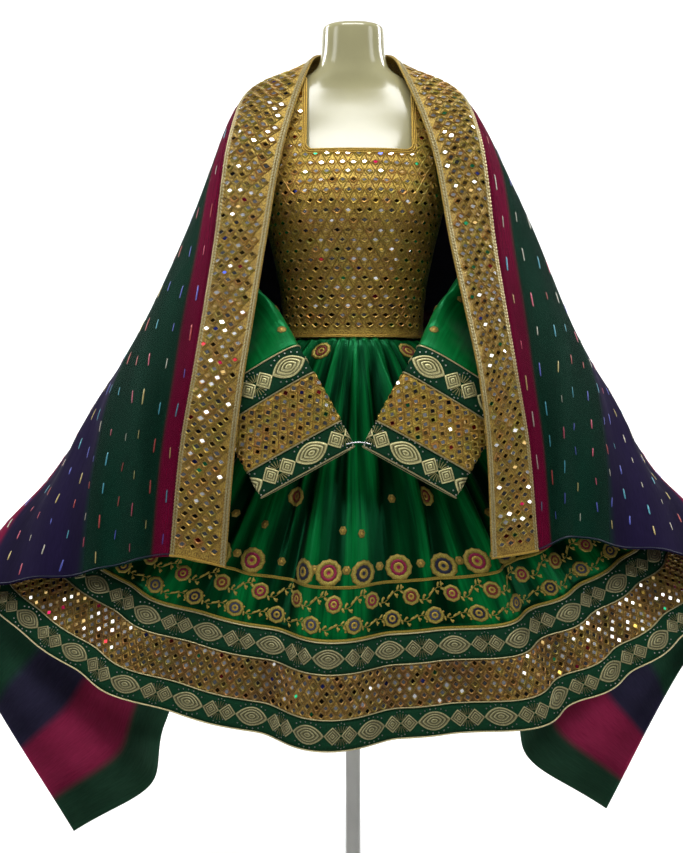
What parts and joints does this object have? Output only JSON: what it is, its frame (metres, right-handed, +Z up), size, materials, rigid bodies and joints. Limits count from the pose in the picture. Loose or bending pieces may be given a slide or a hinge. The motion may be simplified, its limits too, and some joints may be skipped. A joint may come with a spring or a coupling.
{
  "type": "embroidered bridal dress with shawl on a limbless dress form",
  "caption": "Embroidered bridal dress in green satin with a gold mirror-work bodice, banded hem and cuffs, and a sheer striped shawl, on a limbless dress form with a round foot",
  "frame": {"origin": "on the floor under the middle of the stand's round foot", "axes": "+Z up, the front of the dress faces -Y, and its left side in a front view is -X"},
  "size_m": [1.3224, 0.5957, 1.497],
  "materials": {
    "green_satin": "glossy satin weave with soft creases and gold embroidery",
    "bottle_green_velvet": "short pile velvet ribbon with pale gold motifs",
    "gold_mirror_work": "gold cord work over cloth with small set mirrors",
    "gold_braid": "metallic thread braid",
    "striped_voile": "sheer crisp voile in broad green, purple and magenta stripes with sequins",
    "cream_plastic": "smooth and shiny",
    "cream_enamel": "smooth enamel",
    "steel_wire": "bright drawn wire"
  },
  "bodies": {
    "root": {"bodice_front": "gold_mirror_work", "bodice_back": "gold_mirror_work", "neck_binding_front": "gold_braid", "neck_binding_back": "gold_braid", "waist_piping": "gold_braid", "sleeve_left": "green_satin", "sleeve_right": "green_satin", "cuff_ribbon_upper_left": "bottle_green_velvet", "cuff_ribbon_upper_right": "bottle_green_velvet", "cuff_mirror_band_left": "gold_mirror_work", "cuff_mirror_band_right": "gold_mirror_work", "cuff_ribbon_lower_left": "bottle_green_velvet", "cuff_ribbon_lower_right": "bottle_green_velvet", "cuff_pin": "steel_wire", "skirt_satin": "green_satin", "skirt_ribbon_upper": "bottle_green_velvet", "skirt_mirror_band": "gold_mirror_work", "skirt_ribbon_lower": "bottle_green_velvet", "shawl_cloth": "striped_voile", "shawl_border": "gold_mirror_work", "form_body": "cream_plastic", "stand_pole": "cream_enamel", "stand_base": "cream_enamel"}
  },
  "joints": []
}
